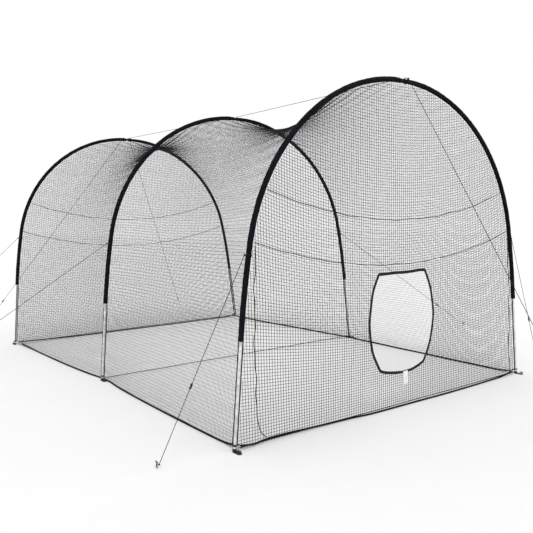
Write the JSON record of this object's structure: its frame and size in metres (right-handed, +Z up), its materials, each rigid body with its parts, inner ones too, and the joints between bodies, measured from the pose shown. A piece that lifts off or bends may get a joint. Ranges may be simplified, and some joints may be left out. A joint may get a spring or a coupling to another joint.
{
  "type": "baseball batting cage",
  "caption": "Bowed-arch batting cage with net walls, roof and ends, a pitching machine opening in the front net and guy ropes.",
  "frame": {"origin": "on the ground at the middle of the cage", "axes": "+X across the cage, +Y along it away from the end with the machine opening, +Z up"},
  "size_m": [7.7692, 10.4568, 2.9562],
  "materials": {
    "galvanised_tube": "satin",
    "fibreglass_rod": "matte",
    "sleeve_fabric": "woven, slight sheen",
    "ferrule_steel": "black paint",
    "moulded_plastic": "moulded",
    "peg_steel": "black paint",
    "net_twine": "twisted twine",
    "webbing": "woven tape",
    "tag_cloth": "plain white",
    "runner_plastic": "moulded",
    "thin_cord": "braided",
    "border_rope": "twisted rope"
  },
  "bodies": {
    "cage": {"apex_ferrules": "ferrule_steel", "corner_ties": "border_rope", "end_base_ropes": "border_rope", "foot_pegs": "peg_steel", "foot_shoes": "moulded_plastic", "front_apex_guy": "thin_cord", "front_bay_left_net": "net_twine", "front_bay_right_net": "net_twine", "front_bay_roof_net": "net_twine", "front_end_net": "net_twine", "front_left_bow": "fibreglass_rod", "front_left_guy": "thin_cord", "front_left_leg": "galvanised_tube", "front_left_sleeve": "sleeve_fabric", "front_right_bow": "fibreglass_rod", "front_right_guy": "thin_cord", "front_right_leg": "galvanised_tube", "front_right_sleeve": "sleeve_fabric", "front_side_ropes": "border_rope", "ground_straps": "webbing", "guy_eyes": "thin_cord", "guy_hitches": "thin_cord", "guy_pegs": "peg_steel", "join_cords": "thin_cord", "left_base_rope": "border_rope", "leg_edge_ropes": "border_rope", "middle_left_bow": "fibreglass_rod", "middle_left_guy": "thin_cord", "middle_left_leg": "galvanised_tube", "middle_left_sleeve": "sleeve_fabric", "middle_right_bow": "fibreglass_rod", "middle_right_guy": "thin_cord", "middle_right_leg": "galvanised_tube", "middle_right_sleeve": "sleeve_fabric", "opening_tag": "tag_cloth", "opening_webbing": "webbing", "rear_apex_left_guy": "thin_cord", "rear_apex_right_guy": "thin_cord", "rear_bay_left_net": "net_twine", "rear_bay_right_net": "net_twine", "rear_bay_roof_net": "net_twine", "rear_end_net": "net_twine", "rear_left_bow": "fibreglass_rod", "rear_left_guy": "thin_cord", "rear_left_leg": "galvanised_tube", "rear_left_sleeve": "sleeve_fabric", "rear_right_bow": "fibreglass_rod", "rear_right_leg": "galvanised_tube", "rear_right_sleeve": "sleeve_fabric", "ridge_ropes": "thin_cord", "right_base_rope": "border_rope"},
    "front_apex_runner": {"front_apex_runner": "runner_plastic"},
    "front_left_runner": {"front_left_runner": "runner_plastic"},
    "front_right_runner": {"front_right_runner": "runner_plastic"},
    "middle_left_runner": {"middle_left_runner": "runner_plastic"},
    "middle_right_runner": {"middle_right_runner": "runner_plastic"},
    "rear_left_runner": {"rear_left_runner": "runner_plastic"},
    "rear_apex_left_runner": {"rear_apex_left_runner": "runner_plastic"},
    "rear_apex_right_runner": {"rear_apex_right_runner": "runner_plastic"}
  },
  "joints": [
    {"name": "front_apex_runner_slide", "type": "slide", "parent": "cage", "child": "front_apex_runner", "axis": [0.0429, 0.5655, 0.8236], "range_m": [-0.45, 0.35]},
    {"name": "front_left_runner_slide", "type": "slide", "parent": "cage", "child": "front_left_runner", "axis": [0.4399, -0.0565, 0.8963], "range_m": [-0.45, 0.35]},
    {"name": "front_right_runner_slide", "type": "slide", "parent": "cage", "child": "front_right_runner", "axis": [-0.4399, -0.0565, 0.8963], "range_m": [-0.45, 0.35]},
    {"name": "middle_left_runner_slide", "type": "slide", "parent": "cage", "child": "middle_left_runner", "axis": [0.8357, -0.0734, 0.5443], "range_m": [-0.45, 0.35]},
    {"name": "middle_right_runner_slide", "type": "slide", "parent": "cage", "child": "middle_right_runner", "axis": [-0.8016, 0.1943, 0.5654], "range_m": [-0.45, 0.35]},
    {"name": "rear_left_runner_slide", "type": "slide", "parent": "cage", "child": "rear_left_runner", "axis": [0.5763, -0.4786, 0.6624], "range_m": [-0.45, 0.35]},
    {"name": "rear_apex_left_runner_slide", "type": "slide", "parent": "cage", "child": "rear_apex_left_runner", "axis": [0.501, -0.381, 0.777], "range_m": [-0.45, 0.35]},
    {"name": "rear_apex_right_runner_slide", "type": "slide", "parent": "cage", "child": "rear_apex_right_runner", "axis": [-0.4639, -0.5863, 0.6641], "range_m": [-0.45, 0.35]}
  ]
}
